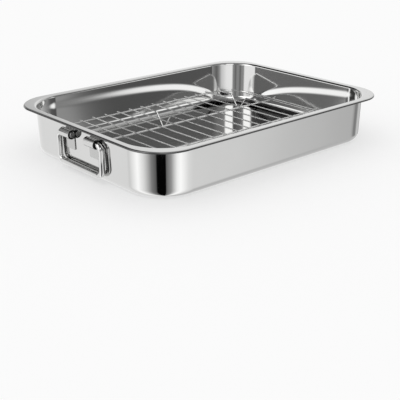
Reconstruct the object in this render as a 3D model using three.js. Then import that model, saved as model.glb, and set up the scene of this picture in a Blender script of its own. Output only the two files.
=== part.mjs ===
// Roasting pan with a loose wire rack and two swinging bail handles.
// Millimetres, +Z up. The origin is the middle of the pan's underside, +X runs along the pan,
// the left end is at -X and the front is at -Y.
import * as THREE from 'three';

// Pan: a drawn sheet with steep walls and a flat flange
const panLength = 400; // over the flange
const panWidth = 298; // over the flange
const panDepth = 61;
const flangeCorner = 47; // the flange's outer corner radius
const wallCorner = 52; // the wall's inner corner radius where it would meet the flange
const flangeWidth = 10.5; // from the outer edge to the line where the wall would meet it
const wallLean = 1.5; // how far the wall comes in between the flange and the floor
const panSheet = 0.7;
const floorBend = 9.3; // inside radius between the floor and the wall
const rimBend = 2.5; // underside radius between the wall and the flange
const edgeBend = 1.3; // inside radius of the turned-down edge
const edgeStraight = 0.3; // straight end of the turned-down edge

// Bail handles: one bent rod each, held against the end wall by two rolled clips
const rodDiameter = 7;
const bailWidth = 88; // between the centrelines of the legs
const bailBend = 8; // centreline radius of every bend
const hingeDrop = 14.4; // from the top of the flange down to the hinge line
const bailFloorRoom = 6.2; // from the bottom bar's underside to the table
const clipLength = 20; // along the hinge line
const clipSheet = 2;
const clipTailSheet = 0.8; // the tail is pressed thinner
const clipTail = 20; // from the hinge line to the tail's lower end
const clipBendGap = 0.6; // from the clip's outer end to where the rod starts to bend
const clipMouth = 2.5; // the height of the roll's open side, where the rod lies along the wall
const rodEndReach = 1.6; // how far the rod's end shows past the clip's inner end
const rodClearance = 0.2; // round the rod inside its clip
const seatGap = 0.3; // between pieces that lie on each other

// Rack: a rim, two long wires under seventeen cross wires, three of which make the feet
const rackEndRoom = 5; // from the wire tips to the pan's end walls
const rackSideRoom = 3; // from the wire tips to the pan's long walls
const rackCornerEase = 2.2; // how much softer the rim's corner is than the pan's
const rackHeight = 20.5; // from the pan's floor to the middle of the cross wires
const rimWire = 2.4;
const longWire = 2.2;
const crossWire = 1.8;
const wireTip = 1.2; // how far a wire's end shows past the rim
const weldGap = 0.2; // between wires that cross
const rimJoint = 0.3; // the butt joint where the rim's ends meet
const crossWires = 17;
const endWireInset = 13.6; // from the rim's short side to the first cross wire
const footInset = 50; // from the rim's long side to the middle of a foot
const footWidth = 30; // over the top of a foot's V
const footTopBend = 4.5;
const footTipBend = 3.2;
const longWireInset = 26; // from a foot's inner edge to the long wire beside it
const kickInset = 2; // from the first cross wire to where a long wire starts to climb on to the rim
const kickBend = 4;

// Facets
const cornerSteps = 12; // in a quarter turn of the pan's corner
const rimCornerSteps = 10; // in a quarter turn of the rack's rim
const bendSteps = 5; // in any other bend
const clipArcSteps = 11; // in half of a clip's roll
const rodHalfSides = 6;
const wireHalfSides = 4;

// Finishes
const panFinish = { color: 0xc9c9c8, roughness: 0.14, metalness: 1 };
const handleFinish = { color: 0xbfbfbe, roughness: 0.1, metalness: 1 };
const rackFinish = { color: 0xb4b4b2, roughness: 0.16, metalness: 1 };

// Stations along a line through the corners, with an arc of the given radius at each inner corner.
// Each station holds a point and the unit direction of travel.
function bentLine(corners, radii, steps) {
  const heading = (from) => corners[from + 1].clone().sub(corners[from]).normalize();
  const last = corners.length - 1;
  const stations = [{ point: corners[0], direction: heading(0) }];
  for (let i = 1; i < last; i += 1) {
    const radius = radii[i - 1];
    const before = heading(i - 1);
    const after = heading(i);
    const turn = before.angleTo(after);
    const inward = after.clone().addScaledVector(before, -before.dot(after)).normalize();
    const start = corners[i].clone().addScaledVector(before, -radius * Math.tan(turn / 2));
    for (let k = 0; k <= steps; k += 1) {
      const angle = (turn * k) / steps;
      const point = start.clone()
        .addScaledVector(before, radius * Math.sin(angle))
        .addScaledVector(inward, radius * (1 - Math.cos(angle)));
      const direction = before.clone()
        .multiplyScalar(Math.cos(angle))
        .addScaledVector(inward, Math.sin(angle));
      stations.push({ point, direction });
    }
  }
  stations.push({ point: corners[last], direction: heading(last - 1) });
  return stations;
}

// A curve that an extrusion samples at exactly these stations.
class StationCurve extends THREE.Curve {
  constructor(stations) {
    super();
    this.stations = stations;
  }

  stationAt(t) {
    return this.stations[Math.round(t * (this.stations.length - 1))];
  }

  getUtoTmapping(u) {
    return u;
  }

  getPoint(t, target = new THREE.Vector3()) {
    return target.copy(this.stationAt(t).point);
  }

  getTangent(t, target = new THREE.Vector3()) {
    return target.copy(this.stationAt(t).direction);
  }
}

// A round rod or wire along a line of stations.
function rodGeometry(stations, diameter, halfSides) {
  const section = new THREE.Shape();
  section.absarc(0, 0, diameter / 2, 0, 2 * Math.PI);
  return new THREE.ExtrudeGeometry(section, {
    steps: stations.length - 1,
    curveSegments: halfSides,
    extrudePath: new StationCurve(stations),
  });
}

function namedMesh(name, geometry, finish) {
  const mesh = new THREE.Mesh(geometry, new THREE.MeshStandardMaterial(finish));
  mesh.name = name;
  return mesh;
}

// Pan body

const leanAngle = Math.atan2(wallLean, panDepth - panSheet);

// Distance from the flange's outer edge to the wall's inner face at a height above the table.
function wallInset(height) {
  return flangeWidth + (panDepth - height) * Math.tan(leanAngle);
}

// The sheet's section as a closed line of offsets from the flange's outer edge (x, negative
// towards the middle) and heights (y): along the upper face from the floor to the turned-down
// edge, and back along the lower face, which lies one sheet to the right of it.
function panSection() {
  const edgeRadius = edgeBend + panSheet;
  const floorCorner = -wallInset(panSheet);
  const corners = [
    new THREE.Vector3(floorCorner - floorBend, panSheet, 0),
    new THREE.Vector3(floorCorner, panSheet, 0),
    new THREE.Vector3(-flangeWidth, panDepth, 0),
    new THREE.Vector3(0, panDepth, 0),
    new THREE.Vector3(0, panDepth - edgeRadius - edgeStraight, 0),
  ];
  const upper = bentLine(corners, [floorBend, rimBend + panSheet, edgeRadius], bendSteps);
  const lower = upper.map(({ point, direction }) => new THREE.Vector3(
    point.x + panSheet * direction.y,
    point.y - panSheet * direction.x,
    0,
  ));
  return [...upper.map(({ point }) => point), ...lower.reverse()];
}

// One closed ring round the pan at an offset from the flange's outer edge. The flange is trimmed to
// a tighter corner than the wall is drawn to, so its flat part is wider at the corners.
function panRing(offset, height) {
  const isTrimmedEdge = offset > -flangeWidth / 2;
  const radius = offset + (isTrimmedEdge ? flangeCorner : wallCorner + flangeWidth);
  const centreX = panLength / 2 + offset - radius;
  const centreY = panWidth / 2 + offset - radius;
  const ring = [];
  for (let quarter = 0; quarter < 4; quarter += 1) {
    const signX = quarter === 0 || quarter === 3 ? 1 : -1;
    const signY = quarter < 2 ? 1 : -1;
    for (let k = 0; k <= cornerSteps; k += 1) {
      const angle = (Math.PI / 2) * (quarter + k / cornerSteps);
      const x = signX * centreX + radius * Math.cos(angle);
      const y = signY * centreY + radius * Math.sin(angle);
      ring.push(new THREE.Vector3(x, y, height));
    }
  }
  return ring;
}

// The section carried round the pan, closed by the two faces of the flat floor.
function panGeometry() {
  const rings = panSection().map(({ x, y }) => panRing(x, y));
  const count = rings[0].length;
  const triangles = [];
  for (let i = 0; i + 1 < rings.length; i += 1) {
    for (let k = 0; k < count; k += 1) {
      const here = i * count + k;
      const beside = i * count + ((k + 1) % count);
      triangles.push(here, here + count, beside, beside, here + count, beside + count);
    }
  }
  const underside = (rings.length - 1) * count;
  const floorOutline = rings[0].map(({ x, y }) => new THREE.Vector2(x, y));
  for (const [a, b, c] of THREE.ShapeUtils.triangulateShape(floorOutline, [])) {
    triangles.push(a, b, c, underside + a, underside + c, underside + b);
  }
  const geometry = new THREE.BufferGeometry().setFromPoints(rings.flat());
  geometry.setIndex(triangles);
  return geometry;
}

// Bail handles and their clips, for the end of the pan that faces +X

const rodRadius = rodDiameter / 2;
const rollInner = rodRadius + rodClearance;
const rollOuter = rollInner + clipSheet;
const hingeHeight = panDepth - hingeDrop;
const wallFaceAtHinge = panLength / 2 - wallInset(hingeHeight) + panSheet / Math.cos(leanAngle);
const hingeReach = wallFaceAtHinge + (seatGap + rollInner) / Math.cos(leanAngle);
const clipOuterEnd = bailWidth / 2 - bailBend - clipBendGap;
const clipInnerEnd = clipOuterEnd - clipLength;

// The rod runs from one clip out to its leg, down, across and back up into the other clip.
function bailGeometry() {
  const barDrop = hingeHeight - bailFloorRoom - rodRadius;
  const rodEnd = clipInnerEnd - rodEndReach;
  const leg = bailWidth / 2;
  const corners = [
    new THREE.Vector3(0, rodEnd, 0),
    new THREE.Vector3(0, leg, 0),
    new THREE.Vector3(0, leg, -barDrop),
    new THREE.Vector3(0, -leg, -barDrop),
    new THREE.Vector3(0, -leg, 0),
    new THREE.Vector3(0, -rodEnd, 0),
  ];
  const stations = bentLine(corners, [bailBend, bailBend, bailBend, bailBend], bendSteps);
  return rodGeometry(stations, rodDiameter, rodHalfSides);
}

// A strip that runs up the wall, rolls out round the rod and comes back to the wall above it.
function clipGeometry() {
  const tailFace = rollInner - clipTailSheet;
  const tailAngle = Math.acos(tailFace / rollOuter) - Math.PI;
  const wallAngle = Math.PI - Math.acos(rollInner / rollOuter);
  const mouthAngle = Math.PI - Math.asin(clipMouth / 2 / rollInner);
  const section = new THREE.Shape();
  section.moveTo(-rollInner, -clipTail);
  section.lineTo(-tailFace, -clipTail);
  section.absarc(0, 0, rollOuter, tailAngle, wallAngle, false);
  section.lineTo(-rollInner, clipMouth / 2);
  section.absarc(0, 0, rollInner, mouthAngle, -mouthAngle, true);
  section.lineTo(-rollInner, -clipMouth / 2);
  const geometry = new THREE.ExtrudeGeometry(section, {
    depth: clipLength,
    curveSegments: clipArcSteps,
    bevelEnabled: false,
  });
  return geometry.rotateX(Math.PI / 2).rotateY(leanAngle);
}

// One end's bail and clips; the names give the clips at +Y and -Y of the unturned end.
function handleEnd(bailName, clipNames) {
  const end = new THREE.Group();
  const bail = namedMesh(bailName, bailGeometry(), handleFinish);
  bail.position.set(hingeReach, 0, hingeHeight);
  end.add(bail);
  const clipStarts = [clipOuterEnd, -clipInnerEnd];
  clipNames.forEach((name, i) => {
    const clip = namedMesh(name, clipGeometry(), handleFinish);
    clip.position.set(hingeReach, clipStarts[i], hingeHeight);
    end.add(clip);
  });
  return end;
}

// Rack, sized from the pan's inside at the height of its rim

const crossHeight = panSheet + rackHeight;
const rimHeight = crossHeight - (crossWire + rimWire) / 2 - weldGap;
const longHeight = crossHeight - (crossWire + longWire) / 2 - weldGap;
const tipReach = rimWire / 2 + wireTip; // from the rim's centreline to a wire's tip
const rimHalfLength = panLength / 2 - wallInset(rimHeight) - tipReach - rackEndRoom;
const rimHalfWidth = panWidth / 2 - wallInset(rimHeight) - tipReach - rackSideRoom;
const rimCorner = wallCorner - tipReach - rackSideRoom + rackCornerEase;
const endWireX = rimHalfLength - endWireInset;

// Where the rim's long side runs at a place along the rack.
function rimSideAt(x) {
  const past = Math.max(0, Math.abs(x) - (rimHalfLength - rimCorner));
  return rimHalfWidth - rimCorner + Math.sqrt(rimCorner ** 2 - past ** 2);
}

function rackRimGeometry() {
  const corners = [
    new THREE.Vector3(-rimJoint / 2, rimHalfWidth, 0),
    new THREE.Vector3(-rimHalfLength, rimHalfWidth, 0),
    new THREE.Vector3(-rimHalfLength, -rimHalfWidth, 0),
    new THREE.Vector3(rimHalfLength, -rimHalfWidth, 0),
    new THREE.Vector3(rimHalfLength, rimHalfWidth, 0),
    new THREE.Vector3(rimJoint / 2, rimHalfWidth, 0),
  ];
  const stations = bentLine(corners, [rimCorner, rimCorner, rimCorner, rimCorner], rimCornerSteps);
  return rodGeometry(stations, rimWire, wireHalfSides);
}

// A wire under the cross wires whose ends climb on to the rim's short sides.
function longWireGeometry() {
  const climb = rimHeight + (rimWire + longWire) / 2 + weldGap - longHeight;
  const climbStart = endWireX + crossWire / 2 + kickInset;
  const climbEnd = rimHalfLength - rimWire / 2;
  const tip = rimHalfLength + tipReach;
  const corners = [
    new THREE.Vector3(-tip, 0, climb),
    new THREE.Vector3(-climbEnd, 0, climb),
    new THREE.Vector3(-climbStart, 0, 0),
    new THREE.Vector3(climbStart, 0, 0),
    new THREE.Vector3(climbEnd, 0, climb),
    new THREE.Vector3(tip, 0, climb),
  ];
  const stations = bentLine(corners, [kickBend, kickBend, kickBend, kickBend], bendSteps);
  return rodGeometry(stations, longWire, wireHalfSides);
}

const footMiddle = rimHalfWidth - footInset;

function crossWireGeometry(x) {
  const tip = rimSideAt(x) + tipReach;
  const ends = [new THREE.Vector3(0, -tip, 0), new THREE.Vector3(0, tip, 0)];
  return rodGeometry(bentLine(ends, [], bendSteps), crossWire, wireHalfSides);
}

// How far below the wire the legs of a foot would meet, so that the rounded tip of the V
// reaches down just far enough to stand on the floor.
function footCornerDrop() {
  const tipDrop = rackHeight - crossWire / 2 - seatGap;
  const halfWidth = footWidth / 2;
  const a = 1 - (footTipBend / halfWidth) ** 2;
  const b = footTipBend - tipDrop;
  const c = tipDrop ** 2 - 2 * footTipBend * tipDrop;
  return (-b + Math.sqrt(b ** 2 - a * c)) / a;
}

// A cross wire bent down into a V foot near each end.
function footWireGeometry(x) {
  const tip = rimSideAt(x) + tipReach;
  const drop = footCornerDrop();
  const inner = footMiddle - footWidth / 2;
  const outer = footMiddle + footWidth / 2;
  const corners = [
    new THREE.Vector3(0, -tip, 0),
    new THREE.Vector3(0, -outer, 0),
    new THREE.Vector3(0, -footMiddle, -drop),
    new THREE.Vector3(0, -inner, 0),
    new THREE.Vector3(0, inner, 0),
    new THREE.Vector3(0, footMiddle, -drop),
    new THREE.Vector3(0, outer, 0),
    new THREE.Vector3(0, tip, 0),
  ];
  const footRadii = [footTopBend, footTipBend, footTopBend];
  return rodGeometry(bentLine(corners, [...footRadii, ...footRadii], bendSteps), crossWire, wireHalfSides);
}

function wireRack() {
  const rack = new THREE.Group();
  const rim = namedMesh('rack_rim', rackRimGeometry(), rackFinish);
  rim.position.z = rimHeight;
  rack.add(rim);

  const longWireY = footMiddle - footWidth / 2 - longWireInset;
  const longWires = { rack_long_wire_front: -longWireY, rack_long_wire_back: longWireY };
  for (const [name, y] of Object.entries(longWires)) {
    const wire = namedMesh(name, longWireGeometry(), rackFinish);
    wire.position.set(0, y, longHeight);
    rack.add(wire);
  }

  const footNames = new Map([
    [1, 'rack_foot_wire_left'],
    [(crossWires - 1) / 2, 'rack_foot_wire_middle'],
    [crossWires - 2, 'rack_foot_wire_right'],
  ]);
  const pitch = (2 * endWireX) / (crossWires - 1);
  let straight = 0;
  for (let i = 0; i < crossWires; i += 1) {
    const x = i * pitch - endWireX;
    const isFoot = footNames.has(i);
    straight += isFoot ? 0 : 1;
    const name = isFoot ? footNames.get(i) : `rack_cross_wire_${String(straight).padStart(2, '0')}`;
    const wire = namedMesh(name, isFoot ? footWireGeometry(x) : crossWireGeometry(x), rackFinish);
    wire.position.set(x, 0, crossHeight);
    rack.add(wire);
  }
  return rack;
}

// Assembly

const roastingPan = new THREE.Group();
roastingPan.add(namedMesh('pan_body', panGeometry(), panFinish));
roastingPan.add(handleEnd('right_bail', ['right_back_clip', 'right_front_clip']));
const leftEnd = handleEnd('left_bail', ['left_front_clip', 'left_back_clip']);
leftEnd.rotation.z = Math.PI;
roastingPan.add(leftEnd);
roastingPan.add(wireRack());

export default roastingPan;
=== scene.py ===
"""Polished steel roasting pan with two swinging bail handles and a loose wire rack.

Everything is in metres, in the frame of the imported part: the origin is the middle of the pan's
underside, +X runs along the pan to its right handle, +Y goes to the back and +Z is up.
"""

import math

import bmesh
import bpy
from mathutils import Matrix, Vector


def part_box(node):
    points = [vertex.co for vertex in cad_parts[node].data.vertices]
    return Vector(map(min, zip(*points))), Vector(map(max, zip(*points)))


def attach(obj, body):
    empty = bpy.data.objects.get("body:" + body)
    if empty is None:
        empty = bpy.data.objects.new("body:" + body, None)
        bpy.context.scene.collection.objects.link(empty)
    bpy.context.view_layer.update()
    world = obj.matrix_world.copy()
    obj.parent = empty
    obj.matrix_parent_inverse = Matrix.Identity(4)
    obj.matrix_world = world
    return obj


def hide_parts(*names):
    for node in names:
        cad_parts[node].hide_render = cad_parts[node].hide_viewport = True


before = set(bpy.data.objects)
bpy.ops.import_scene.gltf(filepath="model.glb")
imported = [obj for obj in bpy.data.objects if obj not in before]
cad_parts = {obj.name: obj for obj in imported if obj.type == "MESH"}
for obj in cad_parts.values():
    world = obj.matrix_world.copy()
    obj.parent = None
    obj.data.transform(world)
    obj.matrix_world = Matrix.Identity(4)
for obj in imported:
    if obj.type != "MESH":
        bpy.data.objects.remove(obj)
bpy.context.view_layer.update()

MM = 0.001
FULL_TURN = 2 * math.pi
QUARTER_TURN = math.pi / 2

# Pan sheet
SHEET = 0.7 * MM
FLANGE_CORNER = 47 * MM
FLANGE_WIDTH = 10.5 * MM  # from the outer edge to the line where the wall would meet it
WALL_CORNER = 52 * MM
WALL_LEAN = 1.5 * MM  # how far a wall comes in between the flange and the floor
FLOOR_BEND = 9.3 * MM
RIM_BEND = 3.2 * MM
EDGE_BEND = 2 * MM  # the flange's turned-down edge
EDGE_STRAIGHT = 0.3 * MM
EDGE_PAINTED_SHADE_BELOW = 0.55  # upward share of the normal, below which the turned edge takes near-black steel as a painted shade line
FLOOR_MARGIN = 14 * MM  # strip of floor, its bend included, that is made with the walls

# Bail handles and clips
ROD = 7 * MM
BAIL_BEND = 8 * MM
ROD_END_ROUNDING = 0.5 * MM
ROD_END_REACH = 1.6 * MM  # past the clip's inner end
ROD_CLEARANCE = 0.2 * MM
CLIP_SHEET = 2 * MM
CLIP_TAIL_SHEET = 0.8 * MM
CLIP_TAIL = 20 * MM  # from the hinge line to the tail's lower end
CLIP_MOUTH = 2.5 * MM  # the height of the roll's open side, where the rod lies along the wall
CLIP_CORNER = 1.5 * MM
CLIP_EDGE = 0.2 * MM
TAIL_END_ZONE = 0.1 * MM  # the height in which the edges of the tail's lower end lie
TAIL_EDGE_RUN = 1 * MM  # an edge that runs less than this along the hinge crosses the sheet
CUT_END_ABOVE = 0.9  # share of the normal along the hinge, above which a face is a cut end

# Rack wires
RIM_CORNER = 48.8 * MM
KICK_BEND = 4 * MM
KICK_INSET = 2 * MM  # from the first cross wire to where a long wire starts to climb
FOOT_INSET = 50 * MM  # from the rim's long side to the middle of a foot
FOOT_WIDTH = 30 * MM
FOOT_TOP_BEND = 4.5 * MM
FOOT_TIP_BEND = 3.2 * MM
TIP_ROUNDING = 0.35 * MM
CROSS_WIRES = 14  # the straight ones, without the three that have feet
BEAD_SIZE = (1.1 * MM, 1.1 * MM, 0.6 * MM)
BUTT_SIZE = (1.7 * MM, 1.4 * MM, 1.3 * MM)  # the weld that closes the rim

# Fineness of the meshes
FEWEST_STEPS = 2  # in any bend
PAN_CORNER_STEPS = 28
SECTION_STEPS = 7  # in a quarter turn of the sheet's own bends
ROD_SIDES = 28
ROD_STEPS = 10
WIRE_SIDES = 14
WIRE_STEPS = 8
LONG_WIRE_STEPS = 24
RIM_STEPS = 20
CLIP_STEPS = 40
CLIP_CORNER_STEPS = 4
CLIP_EDGE_STEPS = 2
CUT_END_STEPS = 3
BEAD_DIVISIONS = 2
PAPER_SIDES = 64
DOME_SEGMENTS = 96
DOME_RINGS = 48
MERGE_DISTANCE = 0.01 * MM
CUT_TOLERANCE = 0.001 * MM
SHARP_ANGLE = math.radians(50)
WORN_ANGLE = math.radians(40)

# Places in the list of the pan's finishes; the sheet's underside takes the one after each
TURNED_EDGE_FACE = 2
FLANGE_FACE = 4

# Places in the lists of the rods' and wires' finishes and of the clips'
CUT_END_FACE = 1
ROLL_FACE = 0
# The roll's ends take near-black steel, which is partly painted shade.
ROLL_END_FACE = 1
TAIL_FACE = 2
TAIL_EDGE_FACE = 3

# Marks in polished steel
CLOUD_SCALE = 11
CLOUD_DETAIL = 4
LINE_DETAIL = 2
RIPPLE_SCALE = 16
RIPPLE_DETAIL = 1
CLOUD_SHARE = 0.6  # of the change in roughness
LINE_SHARE = 0.4
LINE_DEPTH = 0.01  # against the ripple's depth of 1

# The soft roll in the drawn walls
WALL_TILT = 0.24  # upward share that is added to a wall's normal
ROLL_FROM_X = 188 * MM  # the two corners that the bright line climbs from
ROLL_FROM_Y = 137 * MM
ROLL_LOW = -24 * MM  # the line's height at those corners
ROLL_RISE = 72 * MM  # its climb in all
ROLL_REACH = 62 * MM  # the distance in which it makes most of its climb
ROLL_WIDTH = 4.4 * MM
ROLL_TILT = 0.17
CORNER_STEEPER = 0.35  # what is added to the line's tilt at the corners
END_WALL_FROM = 181 * MM  # from the pan's middle
END_ROLL_DROP = 8 * MM  # how much lower the line lies on the end walls
END_ROLL_CLIMB = 0.05  # how fast it makes that up along them

# Studio
PAPER_REACH = 20  # radius of the white floor
PAPER_DROP = 0.2 * MM  # below the pan's underside
PAPER_WHITE = (0.96, 0.96, 0.96, 1)
PAPER_ROUGHNESS = 0.9
BACKDROP_WHITE = (0.97, 0.97, 0.97, 1)
WORLD_WHITE = (1, 1, 1, 1)
SHADOW_SHARE = 0.5  # how much of the pan's shadow shows on the paper
DOME = 5  # radius of the ring of cards

# Cards round the pan, by the compass angle in degrees from +X, with their brightness
FLOOR_CARDS = [
    (-180, 1.1), (-160, 0.32), (-148, 0.13), (-147, 0.002), (-125, 0.002), (-124, 0.18),
    (-112, 0.45), (-97, 1.35), (-88, 1.57), (-65, 1.1), (-47, 0.97), (-37, 0.68), (0, 0.7),
    (48, 1.0), (119, 1.06), (125, 1.1), (135, 0.95), (163, 1.57), (180, 1.1),
]
LOW_CARDS = [
    (-180, 1.1), (-160, 0.75), (-135, 0.8), (-112, 0.9), (-97, 1.35), (-88, 1.57), (-65, 1.1),
    (-47, 0.97), (-37, 0.68), (-29, 0.56), (-22, 0.31), (-11, 0.33), (-4, 0.72), (12, 0.75),
    (18, 0.4), (34, 0.4), (48, 1.0), (119, 1.06), (125, 1.1), (135, 0.95), (163, 1.57), (180, 1.1),
]
HORIZON_CARDS = [
    (-176, 1.3), (-172, 0.4), (-165, 0.4), (-160, 0.18), (-155, 0.38), (-148, 0.38), (-144, 0.18),
    (-139, 0.35), (-135, 0.4), (-131, 1.35), (-112, 1.3), (-94, 0.9), (-86, 0.4), (-76, 0.18),
    (-62, 0.35), (-59.5, 0.5), (-57.3, 0.17), (-55, 0.12), (-40, 0.15), (-30, 0.3), (20, 0.9),
    (50, 1.1), (84, 0.3), (90, 1.4), (99, 1.4), (103, 0.06), (126, 0.06), (129, 1.4), (132.6, 1.4),
    (133.4, 0.22), (142, 0.2), (145, 1.3),
]
HIGH_CARDS = [
    (-180, 2), (-176, 2), (-172, 2.6), (-165, 2.4), (-161, 1.3), (-157.5, 1.2), (-155, 0.33),
    (-135, 0.33), (-107, 0.35), (-103, 0.6), (-99, 1.6), (-92, 1.6), (-84, 0.6), (-60, 0.34),
    (-55, 0.36), (-53, 0.55), (-51, 1.2), (-48, 1.5), (-40, 1.5), (-30, 0.5), (20, 0.9),
    (36, 1.15), (50, 1.1), (60, 0.9), (66, 0.25), (100, 0.2), (122, 0.3), (125, 1.6), (131, 1.6),
    (147, 1.4), (154, 2), (180, 2),
]
CANOPY_CARDS = [
    (-180, 1.5), (-177, 0.5), (-165, 0.3), (-144, 0.2), (-138, 0.25), (-134, 2.4), (-108, 2.4),
    (-102, 0.5), (-88, 0.4), (-70, 0.35), (-50, 0.22), (-12, 0.22), (5, 0.9), (52, 0.9),
    (60, 0.03), (108, 0.03), (116, 0.1), (130, 0.1), (142, 0.2), (148, 1.6), (152, 2.4),
    (177, 2.4), (180, 1.5),
]
ZENITH = 0.3
BRIGHTEST = 3

# The heights in degrees between which each ring takes over from the one below it
RINGS_ABOVE_FLOOR = [
    (-19.3, -17.8, LOW_CARDS),
    (0, 5, HORIZON_CARDS),
    (12, 22, HIGH_CARDS),
    (33, 36, CANOPY_CARDS),
]
ZENITH_FROM = 56
ZENITH_FULL = 66

# Camera
EYE = Vector((-683, -762.2, 331.4)) * MM
VIEW_COMPASS = math.radians(-41.66)
VIEW_DOWN = math.radians(22.1)
FOCAL_LENGTH = 72.07  # this and the sensor in millimetres, as Blender's camera has them
SENSOR_WIDTH = 36
NEAREST_SEEN = 0.01


class Value:
    """A socket of a finish; sums on it add Math nodes."""

    def __init__(self, finish, socket):
        self.finish = finish
        self.socket = socket

    def work_out(self, operation, *terms):
        return self.finish.node("ShaderNodeMath", {"operation": operation}, dict(enumerate(terms)))

    def __add__(self, other):
        return self.work_out("ADD", self, other)

    def __radd__(self, other):
        return self.work_out("ADD", other, self)

    def __sub__(self, other):
        return self.work_out("SUBTRACT", self, other)

    def __rsub__(self, other):
        return self.work_out("SUBTRACT", other, self)

    def __mul__(self, other):
        return self.work_out("MULTIPLY", self, other)

    def __rmul__(self, other):
        return self.work_out("MULTIPLY", other, self)

    def __truediv__(self, other):
        return self.work_out("DIVIDE", self, other)

    def __rtruediv__(self, other):
        return self.work_out("DIVIDE", other, self)

    def at_least(self, other):
        return self.work_out("MAXIMUM", self, other)

    def at_most(self, other):
        return self.work_out("MINIMUM", self, other)

    def size(self):
        return self.work_out("ABSOLUTE", self)

    def exponential(self):
        return self.work_out("EXPONENT", self)


class Finish:
    """A material and the nodes that it is mixed from."""

    def __init__(self, name):
        self.material = bpy.data.materials.new(name)
        self.material.use_nodes = True
        self.tree = self.material.node_tree
        self.tree.nodes.clear()

    def node(self, kind, settings=None, sockets=None, out=0):
        """Any node, from its type, its settings and the values or links of its sockets."""
        made = self.tree.nodes.new(kind)
        for key, value in (settings or {}).items():
            if key == "stops":
                self.set_stops(made.color_ramp, value)
            else:
                setattr(made, key, value)
        for key, value in (sockets or {}).items():
            if isinstance(value, Value):
                self.tree.links.new(value.socket, made.inputs[key])
            else:
                made.inputs[key].default_value = value
        return Value(self, made.outputs[out]) if made.outputs else None

    def set_stops(self, ramp, stops):
        while len(ramp.elements) < len(stops):
            ramp.elements.new(1)
        for element, (place, level) in zip(ramp.elements, stops):
            element.position = place
            element.color = (level, level, level, 1)

    def blend(self, share, first, second):
        """A mix of two colours, which a Mix node takes at 6 and 7 and gives at 2."""
        sockets = {0: share, 6: first, 7: second}
        return self.node("ShaderNodeMix", {"data_type": "RGBA"}, sockets, out=2)

    def place(self):
        return self.node("ShaderNodeTexCoord", out="Object")

    def stretched(self, scale):
        return self.node("ShaderNodeMapping", {}, {"Vector": self.place(), "Scale": scale})

    def noise(self, where, scale, detail):
        sockets = {"Vector": where, "Scale": scale, "Detail": detail}
        return self.node("ShaderNodeTexNoise", {}, sockets)

    def parts(self, vector, axes="XYZ"):
        return [self.node("ShaderNodeSeparateXYZ", {}, {0: vector}, axis) for axis in axes]

    def step_up(self, value, low, high):
        """A soft step from 0 at the low value to 1 at the high one."""
        sockets = {"Value": value, "From Min": low, "From Max": high}
        return self.node("ShaderNodeMapRange", {"interpolation_type": "SMOOTHSTEP"}, sockets)

    def joined(self, operation, *vectors):
        return self.node("ShaderNodeVectorMath", {"operation": operation}, dict(enumerate(vectors)))

    def wear_shader(self, shader):
        self.node("ShaderNodeOutputMaterial", {}, {"Surface": shader})
        return self.material


def drawn_wall_tilt(finish):
    """How far the drawn walls roll upwards, with a soft line that climbs from two corners."""
    x, y, z = finish.parts(finish.place())
    facing_x, facing_y = finish.parts(finish.node("ShaderNodeNewGeometry", out="Normal"), "XY")
    wall = WALL_TILT / (facing_x.size() + facing_y.size()).at_least(1)
    from_back = (ROLL_FROM_X - x).at_least(ROLL_FROM_Y - y)
    from_front = (ROLL_FROM_X + x).at_least(ROLL_FROM_Y + y)
    along = from_back.at_most(from_front)
    fading = (along / -ROLL_REACH).exponential()
    on_end_wall = finish.step_up(x.size(), END_WALL_FROM, ROLL_FROM_X)
    end_drop = on_end_wall * (END_ROLL_DROP - END_ROLL_CLIMB * along)
    across = (z - ROLL_LOW - ROLL_RISE * (1 - fading) + end_drop) / ROLL_WIDTH
    line = (across * across * -1).exponential() * (ROLL_TILT + CORNER_STEEPER * fading)
    return finish.node("ShaderNodeCombineXYZ", {}, {"Z": wall + line})


def steel(name, pale, dark, gloss, dull, line_scale, wave, rolled=False, metal=1):
    """Polished steel: faint clouds from wiping, fine polishing lines and a slightly wavy sheet."""
    finish = Finish(name)
    clouds = finish.noise(finish.place(), CLOUD_SCALE, CLOUD_DETAIL)
    lines = finish.noise(finish.stretched(line_scale), 1, LINE_DETAIL)
    ripple = finish.noise(finish.place(), RIPPLE_SCALE, RIPPLE_DETAIL)
    colour = finish.blend(clouds, (*pale, 1), (*dark, 1))
    roughness = gloss + (dull - gloss) * (CLOUD_SHARE * clouds + LINE_SHARE * lines)
    height = ripple + LINE_DEPTH * lines
    bump = finish.node("ShaderNodeBump", {}, {"Strength": 1, "Distance": wave, "Height": height})
    if rolled:
        tilted = finish.joined("ADD", bump, drawn_wall_tilt(finish))
        bump = finish.joined("NORMALIZE", tilted)
    shader = finish.node(
        "ShaderNodeBsdfPrincipled",
        {},
        {"Base Color": colour, "Metallic": metal, "Roughness": roughness, "Normal": bump},
    )
    return finish.wear_shader(shader)


pan_inside = steel(
    "satin_pan_inside",
    pale=(0.6, 0.6, 0.595),
    dark=(0.55, 0.55, 0.545),
    gloss=0.05,
    dull=0.08,
    line_scale=(3, 260, 260),
    wave=0.01 * MM,
    rolled=True,
)
pan_outside = steel(
    "mirror_pan_outside",
    pale=(0.64, 0.64, 0.635),
    dark=(0.58, 0.58, 0.575),
    gloss=0.03,
    dull=0.07,
    line_scale=(3, 3, 400),
    wave=0.05 * MM,
)
# Near-black steel on the flange's turned-down edge: a painted shade line under the flange, not the
# steel's own colour.
painted_shade_edge_finish = steel(
    "painted_shade_turned_edge",
    pale=(0.14, 0.14, 0.14),
    dark=(0.1, 0.1, 0.1),
    gloss=0.2,
    dull=0.3,
    line_scale=(3, 3, 400),
    wave=0.02 * MM,
)
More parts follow.
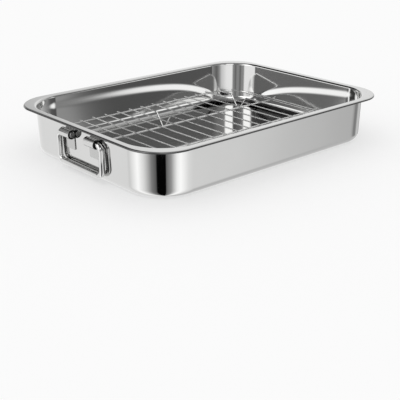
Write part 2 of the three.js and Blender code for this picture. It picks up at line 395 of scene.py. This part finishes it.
# Near-black steel on the flange's underside: painted shade under the flange, not the steel's own
# colour.
painted_shade_underside_finish = steel(
    "painted_shade_flange_underside",
    pale=(0.06, 0.06, 0.06),
    dark=(0.03, 0.03, 0.03),
    gloss=0.2,
    dull=0.3,
    line_scale=(3, 3, 400),
    wave=0.02 * MM,
)
handle_finish = steel(
    "polished_handle_rod",
    pale=(0.66, 0.66, 0.655),
    dark=(0.55, 0.55, 0.545),
    gloss=0.03,
    dull=0.09,
    line_scale=(500, 60, 500),
    wave=0.02 * MM,
)
tail_finish = steel(
    "pressed_clip_tail",
    pale=(0.52, 0.52, 0.515),
    dark=(0.46, 0.46, 0.455),
    gloss=0.05,
    dull=0.12,
    line_scale=(60, 60, 500),
    wave=0.02 * MM,
)
tail_edge_finish = steel(
    "satin_tail_edge",
    pale=(0.7, 0.7, 0.695),
    dark=(0.6, 0.6, 0.595),
    gloss=0.5,
    dull=0.65,
    line_scale=(900, 900, 900),
    wave=0.02 * MM,
)
# The roll's cut ends are dull cut sheet. They are darkened to near black as painted shade of the
# gap round the rod.
roll_end_cut_and_shade_finish = steel(
    "dull_cut_edge_with_painted_shade",
    pale=(0.06, 0.06, 0.06),
    dark=(0.02, 0.02, 0.02),
    gloss=0.3,
    dull=0.5,
    line_scale=(900, 900, 900),
    wave=0.02 * MM,
)
cut_end_finish = steel(
    "dull_cut_end",
    pale=(0.3, 0.3, 0.295),
    dark=(0.2, 0.2, 0.195),
    gloss=0.35,
    dull=0.5,
    line_scale=(900, 900, 900),
    wave=0.02 * MM,
)
wire_finish = steel(
    "bright_rack_wire",
    pale=(0.8, 0.8, 0.795),
    dark=(0.68, 0.68, 0.675),
    gloss=0.08,
    dull=0.18,
    line_scale=(300, 300, 300),
    wave=0.02 * MM,
    metal=0.93,
)
weld_finish = steel(
    "dull_weld_bead",
    pale=(0.5, 0.5, 0.49),
    dark=(0.32, 0.31, 0.3),
    gloss=0.2,
    dull=0.38,
    line_scale=(900, 900, 900),
    wave=0.1 * MM,
)


def only(items, kind):
    return [item for item in items if isinstance(item, kind)]


def ends_of(made, front):
    """The new working end: vertices, and edges where the old end had edges."""
    ends = only(made, bmesh.types.BMVert)
    if only(front, bmesh.types.BMEdge):
        ends += only(made, bmesh.types.BMEdge)
    return ends


def push_out(bm, front, offset):
    """Carry a working end straight on."""
    made = bmesh.ops.extrude_face_region(bm, geom=front)["geom"]
    bmesh.ops.translate(bm, verts=only(made, bmesh.types.BMVert), vec=offset)
    return ends_of(made, front)


def swing(bm, front, centre, axis, angle, steps):
    """Carry a working end round a bend."""
    made = bmesh.ops.spin(
        bm, geom=front, cent=centre, axis=axis, angle=angle, steps=steps, use_duplicate=False
    )
    return ends_of(made["geom_last"], front)


def follow(bm, front, corners, radii, quarter_steps):
    """Carry a working end through the corners, round a bend at each inner one."""
    corners = [Vector(corner) for corner in corners]
    place = corners[0]
    for before, corner, after, radius in zip(corners, corners[1:], corners[2:], radii):
        ahead = (corner - before).normalized()
        leaving = (after - corner).normalized()
        turn = ahead.angle(leaving)
        axis = ahead.cross(leaving).normalized()
        tangent = radius * math.tan(turn / 2)
        bend_start = corner - ahead * tangent
        front = push_out(bm, front, bend_start - place)
        centre = bend_start + axis.cross(ahead) * radius
        steps = max(FEWEST_STEPS, round(quarter_steps * turn / QUARTER_TURN))
        front = swing(bm, front, centre, axis, turn, steps)
        place = corner + leaving * tangent
    push_out(bm, front, corners[-1] - place)


def open_edges(bm):
    return [edge for edge in bm.edges if edge.is_boundary]


def round_over(bm, edges, radius, steps):
    bmesh.ops.bevel(
        bm, geom=edges, offset=radius, segments=steps, profile=0.5, affect="EDGES", material=-1
    )


def bent_rod(corners, radii, diameter, sides, steps, rounding):
    """A round rod or wire through the corners, with its cut ends rounded over."""
    bm = bmesh.new()
    start = Vector(corners[0])
    heading = (Vector(corners[1]) - start).normalized()
    facing = Matrix.Translation(start) @ heading.to_track_quat("Z", "Y").to_matrix().to_4x4()
    bmesh.ops.create_circle(bm, cap_ends=False, segments=sides, radius=diameter / 2, matrix=facing)
    follow(bm, bm.verts[:] + bm.edges[:], corners, radii, steps)
    bmesh.ops.remove_doubles(bm, verts=bm.verts, dist=MERGE_DISTANCE)
    bmesh.ops.recalc_face_normals(bm, faces=bm.faces)
    cut_edges = open_edges(bm)
    if cut_edges:
        cut_faces = bmesh.ops.holes_fill(bm, edges=cut_edges, sides=sides)["faces"]
        for face in cut_faces:
            face.material_index = CUT_END_FACE
        round_over(bm, cut_edges, rounding, CUT_END_STEPS)
    bmesh.ops.recalc_face_normals(bm, faces=bm.faces)
    return bm


def made_object(name, bm, finishes):
    """A smooth object at the origin with the shape and the finishes."""
    mesh = bpy.data.meshes.new(name)
    bm.to_mesh(mesh)
    bm.free()
    for finish in finishes:
        mesh.materials.append(finish)
    mesh.shade_smooth()
    made = bpy.data.objects.new(name, mesh)
    bpy.context.scene.collection.objects.link(made)
    return made


def finished_piece(name, bm, finishes, body, nodes=()):
    """A piece that rides on a body and stands for the nodes."""
    piece = made_object(name, bm, finishes)
    piece.data.set_sharp_from_angle(angle=SHARP_ANGLE)
    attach(piece, body)
    if nodes:
        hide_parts(*nodes)
    return piece


def middle_of(node, axis):
    low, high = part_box(node)
    return (low[axis] + high[axis]) / 2


# Pan

pan_low, pan_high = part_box("pan_body")
DEPTH = pan_high[2]
LEAN_ANGLE = math.atan2(WALL_LEAN, DEPTH - SHEET)


def wall_inset(height):
    """From the flange's outer edge to the wall's inner face."""
    return FLANGE_WIDTH + (DEPTH - height) * math.tan(LEAN_ANGLE)


def carried_round(bm, section, radii, inset, corner):
    """A line along the sheet's section, carried round the pan at an inset from its outer edge."""
    made_before = set(bm.verts[:] + bm.edges[:])
    first = bmesh.ops.create_vert(bm, co=section[0])["vert"]
    follow(bm, first, section, radii, SECTION_STEPS)
    line = [item for item in bm.verts[:] + bm.edges[:] if item not in made_before]
    low_x, high_x = pan_low[0] + inset, pan_high[0] - inset
    low_y, high_y = pan_low[1] + inset, pan_high[1] - inset
    outline = [
        (low_x, 0, 0),
        (low_x, low_y, 0),
        (high_x, low_y, 0),
        (high_x, high_y, 0),
        (low_x, high_y, 0),
        (low_x, 0, 0),
    ]
    follow(bm, line, outline, [corner] * 4, PAN_CORNER_STEPS)


def pressed_pan():
    """The sheet's upper face: the drawn bowl, the turned edge and the flat flange between them."""
    bm = bmesh.new()
    outside = pan_low[0]
    floor_corner = outside + wall_inset(SHEET)
    wall_top = outside + FLANGE_WIDTH
    flat_start = wall_top - RIM_BEND * math.tan((QUARTER_TURN - LEAN_ANGLE) / 2)
    bowl = [
        (floor_corner + FLOOR_MARGIN, 0, SHEET),
        (floor_corner, 0, SHEET),
        (wall_top, 0, DEPTH),
        (flat_start, 0, DEPTH),
    ]
    carried_round(bm, bowl, [FLOOR_BEND, RIM_BEND], FLANGE_WIDTH, WALL_CORNER)
    turned_edge = [
        (outside + EDGE_BEND, 0, DEPTH),
        (outside, 0, DEPTH),
        (outside, 0, DEPTH - EDGE_BEND - EDGE_STRAIGHT),
    ]
    bowl_faces = set(bm.faces)
    carried_round(bm, turned_edge, [EDGE_BEND], 0, FLANGE_CORNER)
    bm.normal_update()
    # Faces of the turned edge that face sideways or down take the near-black steel, as painted
    # shade.
    for face in bm.faces:
        if face not in bowl_faces and abs(face.normal.z) < EDGE_PAINTED_SHADE_BELOW:
            face.material_index = TURNED_EDGE_FACE
    bmesh.ops.remove_doubles(bm, verts=bm.verts, dist=MERGE_DISTANCE)
    flange_height = DEPTH - MERGE_DISTANCE
    flange_edges = [
        edge for edge in open_edges(bm) if min(vert.co.z for vert in edge.verts) > flange_height
    ]
    flange = bmesh.ops.bridge_loops(bm, edges=flange_edges)["faces"]
    for face in flange:
        face.material_index = FLANGE_FACE
    floor_edges = [edge for edge in open_edges(bm) if edge.verts[0].co.z < DEPTH / 2]
    floor = bmesh.ops.contextual_create(bm, geom=floor_edges)["faces"]
    bmesh.ops.recalc_face_normals(bm, faces=bm.faces)
    floor[0].normal_update()
    if floor[0].normal.z < 0:
        bmesh.ops.reverse_faces(bm, faces=bm.faces)
    return bm


# In this list the turned edge and the flange's underside take near-black steel, as painted shade.
pan = finished_piece(
    "pressed_pan",
    pressed_pan(),
    [pan_inside, pan_outside, painted_shade_edge_finish, painted_shade_edge_finish, pan_inside, painted_shade_underside_finish],
    "pan",
    ["pan_body"],
)
sheet = pan.modifiers.new("sheet", "SOLIDIFY")
sheet.thickness = SHEET
sheet.offset = -1
sheet.use_even_offset = True
sheet.use_quality_normals = True
sheet.material_offset = 1
sheet.material_offset_rim = 1
flat_shading = pan.modifiers.new("flat_shading", "WEIGHTED_NORMAL")
flat_shading.keep_sharp = True


# Bail handles and their clips

CLIP_INNER_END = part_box("left_back_clip")[0][1]


def bail(node):
    """One rod from a clip out to its leg, down, across and back up into the other clip."""
    low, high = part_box(node)
    radius = ROD / 2
    x = middle_of(node, 0)
    leg = high[1] - radius
    hinge = high[2] - radius
    bar = low[2] + radius
    rod_end = CLIP_INNER_END - ROD_END_REACH
    corners = [
        (x, rod_end, hinge),
        (x, leg, hinge),
        (x, leg, bar),
        (x, -leg, bar),
        (x, -leg, hinge),
        (x, -rod_end, hinge),
    ]
    return bent_rod(corners, [BAIL_BEND] * 4, ROD, ROD_SIDES, ROD_STEPS, ROD_END_ROUNDING)


def at_tail_end(edge, lowest):
    """Whether an edge crosses the sheet at a corner of the tail's lower end."""
    first, second = [vert.co for vert in edge.verts]
    return max(first.z, second.z) < lowest and abs(second.y - first.y) < TAIL_EDGE_RUN


def clip_face(face, roll_bottom):
    """Which finish a face of a clip takes."""
    is_end = abs(face.normal.y) > CUT_END_ABOVE
    if face.calc_center_median().z > roll_bottom:
        return ROLL_END_FACE if is_end else ROLL_FACE
    return TAIL_EDGE_FACE if is_end else TAIL_FACE


def rolled_clip(node, bail_node, outward):
    """A thin tail up the wall and a thick roll round the rod, which is open towards the wall."""
    low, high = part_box(node)
    hinge = Vector((middle_of(bail_node, 0), low[1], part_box(bail_node)[1][2] - ROD / 2))
    inner = ROD / 2 + ROD_CLEARANCE
    outer = inner + CLIP_SHEET
    tail_face = inner - CLIP_TAIL_SHEET
    half_mouth = CLIP_MOUTH / 2
    mouth_angle = math.asin(half_mouth / inner)
    edge_width = inner - math.sqrt(inner ** 2 - half_mouth ** 2)
    wall_height = math.sqrt(outer ** 2 - inner ** 2)
    tail_height = math.sqrt(outer ** 2 - tail_face ** 2)
    roll = FULL_TURN - math.acos(inner / outer) - math.acos(tail_face / outer)
    bm = bmesh.new()
    bmesh.ops.create_vert(bm, co=hinge + Vector((-outward * inner, 0, -CLIP_TAIL)))
    front = push_out(bm, bm.verts[:], (0, 0, CLIP_TAIL - half_mouth))
    front = push_out(bm, front, (outward * edge_width, 0, 0))
    front = swing(bm, front, hinge, (0, -outward, 0), FULL_TURN - 2 * mouth_angle, CLIP_STEPS)
    front = push_out(bm, front, (-outward * edge_width, 0, 0))
    front = push_out(bm, front, (0, 0, wall_height - half_mouth))
    front = swing(bm, front, hinge, (0, outward, 0), roll, CLIP_STEPS)
    front = push_out(bm, front, (0, 0, tail_height - CLIP_TAIL))
    push_out(bm, front, (-outward * CLIP_TAIL_SHEET, 0, 0))
    bmesh.ops.remove_doubles(bm, verts=bm.verts, dist=MERGE_DISTANCE)
    bmesh.ops.contextual_create(bm, geom=bm.edges[:])
    section = bm.verts[:] + bm.edges[:] + bm.faces[:]
    push_out(bm, section, (0, high[1] - low[1], 0))
    lowest = hinge.z - CLIP_TAIL + TAIL_END_ZONE
    tail_ends = [edge for edge in bm.edges if at_tail_end(edge, lowest)]
    round_over(bm, tail_ends, CLIP_CORNER, CLIP_CORNER_STEPS)
    under_roll = hinge - Vector((0, 0, outer))
    bmesh.ops.bisect_plane(
        bm,
        geom=bm.verts[:] + bm.edges[:] + bm.faces[:],
        dist=CUT_TOLERANCE,
        plane_co=under_roll,
        plane_no=(0, 0, 1),
    )
    bmesh.ops.recalc_face_normals(bm, faces=bm.faces)
    for face in bm.faces:
        face.material_index = clip_face(face, under_roll.z)
    tilt = Matrix.Rotation(outward * LEAN_ANGLE, 3, "Y")
    bmesh.ops.rotate(bm, verts=bm.verts, cent=hinge, matrix=tilt)
    return bm


for side, outward in (("left", -1), ("right", 1)):
    bail_node = side + "_bail"
    finished_piece(
        side + "_handle_rod",
        bail(bail_node),
        [handle_finish, cut_end_finish],
        side + "_handle",
        [bail_node],
    )
    for place in ("front", "back"):
        node = side + "_" + place + "_clip"
        clip = finished_piece(
            side + "_" + place + "_rolled_clip",
            rolled_clip(node, bail_node, outward),
            [handle_finish, roll_end_cut_and_shade_finish, tail_finish, tail_edge_finish],
            "pan",
            [node],
        )
        worn_edge = clip.modifiers.new("worn_edge", "BEVEL")
        worn_edge.width = CLIP_EDGE
        worn_edge.segments = CLIP_EDGE_STEPS
        worn_edge.limit_method = "ANGLE"
        worn_edge.angle_limit = WORN_ANGLE


# Rack

cross_nodes = ["rack_cross_wire_%02d" % number for number in range(1, CROSS_WIRES + 1)]
foot_nodes = ["rack_foot_wire_left", "rack_foot_wire_middle", "rack_foot_wire_right"]
long_nodes = ["rack_long_wire_front", "rack_long_wire_back"]
rim_low, rim_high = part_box("rack_rim")
long_low, long_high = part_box("rack_long_wire_front")
cross_low, cross_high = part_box("rack_cross_wire_01")
RIM_WIRE = rim_high[2] - rim_low[2]
LONG_WIRE = long_high[1] - long_low[1]
CROSS_WIRE = cross_high[2] - cross_low[2]
RIM_X = rim_high[0] - RIM_WIRE / 2
RIM_Y = rim_high[1] - RIM_WIRE / 2
RIM_HEIGHT = (rim_low[2] + rim_high[2]) / 2
FIRST_CROSS_X = max(middle_of(node, 0) for node in cross_nodes)


def rim_side(x):
    """Where the rim's long side runs at a place along the rack."""
    past = max(0, abs(x) - (RIM_X - RIM_CORNER))
    return RIM_Y - RIM_CORNER + math.sqrt(RIM_CORNER ** 2 - past ** 2)


def rack_rim():
    """One wire all the way round, closed in the middle of its back side."""
    corners = [
        (0, RIM_Y, RIM_HEIGHT),
        (-RIM_X, RIM_Y, RIM_HEIGHT),
        (-RIM_X, -RIM_Y, RIM_HEIGHT),
        (RIM_X, -RIM_Y, RIM_HEIGHT),
        (RIM_X, RIM_Y, RIM_HEIGHT),
        (0, RIM_Y, RIM_HEIGHT),
    ]
    return bent_rod(corners, [RIM_CORNER] * 4, RIM_WIRE, WIRE_SIDES, RIM_STEPS, TIP_ROUNDING)


def straight_wire(node):
    low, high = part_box(node)
    x = middle_of(node, 0)
    z = middle_of(node, 2)
    ends = [(x, low[1], z), (x, high[1], z)]
    return bent_rod(ends, [], CROSS_WIRE, WIRE_SIDES, WIRE_STEPS, TIP_ROUNDING)


def long_wire(node):
    """A wire under the cross wires whose ends climb on to the rim's short sides."""
    low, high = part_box(node)
    y = middle_of(node, 1)
    run = low[2] + LONG_WIRE / 2
    top = high[2] - LONG_WIRE / 2
    climb_start = FIRST_CROSS_X + CROSS_WIRE / 2 + KICK_INSET
    climb_end = RIM_X - RIM_WIRE / 2
    corners = [
        (low[0], y, top),
        (-climb_end, y, top),
        (-climb_start, y, run),
        (climb_start, y, run),
        (climb_end, y, top),
        (high[0], y, top),
    ]
    return bent_rod(corners, [KICK_BEND] * 4, LONG_WIRE, WIRE_SIDES, LONG_WIRE_STEPS, TIP_ROUNDING)


def foot_corner_drop(tip_drop):
    """How far below the wire a foot's legs would meet, for a rounded tip at the given drop."""
    # The drop solves a quadratic equation with these terms
    squared = 1 - (FOOT_TIP_BEND / (FOOT_WIDTH / 2)) ** 2
    half_linear = FOOT_TIP_BEND - tip_drop
    constant = tip_drop ** 2 - 2 * FOOT_TIP_BEND * tip_drop
    return (-half_linear + math.sqrt(half_linear ** 2 - squared * constant)) / squared


def foot_wire(node):
    """A cross wire bent down into a V foot near each end."""
    low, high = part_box(node)
    x = middle_of(node, 0)
    top = high[2] - CROSS_WIRE / 2
    tip = top - foot_corner_drop(top - low[2] - CROSS_WIRE / 2)
    middle = RIM_Y - FOOT_INSET
    inner = middle - FOOT_WIDTH / 2
    outer = middle + FOOT_WIDTH / 2
    corners = [
        (x, low[1], top),
        (x, -outer, top),
        (x, -middle, tip),
        (x, -inner, top),
        (x, inner, top),
        (x, middle, tip),
        (x, outer, top),
        (x, high[1], top),
    ]
    radii = [FOOT_TOP_BEND, FOOT_TIP_BEND, FOOT_TOP_BEND] * 2
    return bent_rod(corners, radii, CROSS_WIRE, WIRE_SIDES, WIRE_STEPS, TIP_ROUNDING)


def weld_beads():
    """A bead wherever two of the rack's wires cross, and one where the rim is closed."""
    beads = []
    for node in cross_nodes + foot_nodes:
        x = middle_of(node, 0)
        rim_y = rim_side(x)
        crossings = [rim_y, -rim_y] + [middle_of(long_node, 1) for long_node in long_nodes]
        beads += [((x, y, cross_low[2]), BEAD_SIZE) for y in crossings]
    for long_node in long_nodes:
        y = middle_of(long_node, 1)
        under_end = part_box(long_node)[1][2] - LONG_WIRE
        beads += [((x, y, under_end), BEAD_SIZE) for x in (RIM_X, -RIM_X)]
    beads.append(((0, RIM_Y, RIM_HEIGHT), BUTT_SIZE))
    bm = bmesh.new()
    for place, size in beads:
        matrix = Matrix.Translation(place) @ Matrix.Diagonal((*size, 1))
        bmesh.ops.create_icosphere(bm, subdivisions=BEAD_DIVISIONS, radius=1, matrix=matrix)
    bmesh.ops.recalc_face_normals(bm, faces=bm.faces)
    return bm


def rack_piece(name, bm, finishes, nodes=()):
    """A piece of the rack, which isn't seen in the metal round it."""
    piece = finished_piece(name, bm, finishes, "rack", nodes)
    piece.visible_glossy = False


wire_finishes = [wire_finish, cut_end_finish]
rack_piece("rim_wire_of_rack", rack_rim(), wire_finishes, ["rack_rim"])
for node in long_nodes:
    rack_piece(node.replace("rack_", "bearer_"), long_wire(node), wire_finishes, [node])
for node in cross_nodes:
    rack_piece(node.replace("rack_", "grid_"), straight_wire(node), wire_finishes, [node])
for node in foot_nodes:
    rack_piece(node.replace("rack_", "grid_"), foot_wire(node), wire_finishes, [node])
rack_piece("rack_weld_beads", weld_beads(), [weld_finish])


# Studio

def stage_piece(name, bm, material):
    """A thing that belongs to the studio and not to the part."""
    piece = made_object(name, bm, [material])
    return piece


def floor_paper():
    """White paper that keeps a soft share of the pan's shadow."""
    finish = Finish("white_floor_paper")
    paper = finish.node(
        "ShaderNodeBsdfPrincipled",
        {},
        {"Base Color": PAPER_WHITE, "Roughness": PAPER_ROUGHNESS, "Specular IOR Level": 0},
    )
    backdrop = finish.node("ShaderNodeEmission", {}, {"Color": BACKDROP_WHITE, "Strength": 1})
    seen = finish.node("ShaderNodeLightPath", out="Is Camera Ray")
    sockets = {0: seen * (1 - SHADOW_SHARE), 1: paper, 2: backdrop}
    return finish.wear_shader(finish.node("ShaderNodeMixShader", {}, sockets))


def card_ring():
    """Light and dark cards all round and a canopy overhead, seen only in the metal."""
    finish = Finish("studio_cards")
    x, y, z = finish.parts(finish.place())
    compass = y.work_out("ARCTAN2", y, x) / FULL_TURN + 0.5
    rise = z.work_out("ARCSINE", z / DOME)

    def ring(cards):
        stops = [((angle + 180) / 360, level / BRIGHTEST) for angle, level in cards]
        return finish.node("ShaderNodeValToRGB", {"stops": stops}, {"Fac": compass})

    def above(low, high):
        return finish.step_up(rise, math.radians(low), math.radians(high))

    colour = ring(FLOOR_CARDS)
    for low, high, cards in RINGS_ABOVE_FLOOR:
        colour = finish.blend(above(low, high), colour, ring(cards))
    zenith = ZENITH / BRIGHTEST
    colour = finish.blend(above(ZENITH_FROM, ZENITH_FULL), colour, (zenith, zenith, zenith, 1))
    shader = finish.node("ShaderNodeEmission", {}, {"Color": colour, "Strength": BRIGHTEST})
    return finish.wear_shader(shader)


floor_shape = bmesh.new()
bmesh.ops.create_circle(floor_shape, cap_ends=True, segments=PAPER_SIDES, radius=PAPER_REACH)
bmesh.ops.translate(floor_shape, verts=floor_shape.verts, vec=(0, 0, -PAPER_DROP))
floor = stage_piece("floor", floor_shape, floor_paper())
floor.visible_glossy = False

dome_shape = bmesh.new()
bmesh.ops.create_uvsphere(
    dome_shape, u_segments=DOME_SEGMENTS, v_segments=DOME_RINGS, radius=DOME
)
dome = stage_piece("reflected_cards", dome_shape, card_ring())
dome.visible_camera = False
dome.visible_diffuse = False
dome.visible_shadow = False
dome.visible_transmission = False
dome.visible_volume_scatter = False

scene = bpy.context.scene
world = bpy.data.worlds.new("white_studio")
world.use_nodes = True
background = world.node_tree.nodes["Background"]
background.inputs["Color"].default_value = WORLD_WHITE
background.inputs["Strength"].default_value = 1
scene.world = world
scene.view_settings.view_transform = "Standard"


# Camera

camera_data = bpy.data.cameras.new("camera")
camera_data.sensor_width = SENSOR_WIDTH
camera_data.lens = FOCAL_LENGTH
camera_data.clip_start = NEAREST_SEEN
camera = bpy.data.objects.new("camera", camera_data)
scene.collection.objects.link(camera)
back = Vector(
    (
        math.sin(VIEW_COMPASS) * math.cos(VIEW_DOWN),
        -math.cos(VIEW_COMPASS) * math.cos(VIEW_DOWN),
        math.sin(VIEW_DOWN),
    )
)
camera.location = EYE
camera.rotation_euler = back.to_track_quat("Z", "Y").to_euler()
scene.camera = camera

bpy.context.view_layer.update()
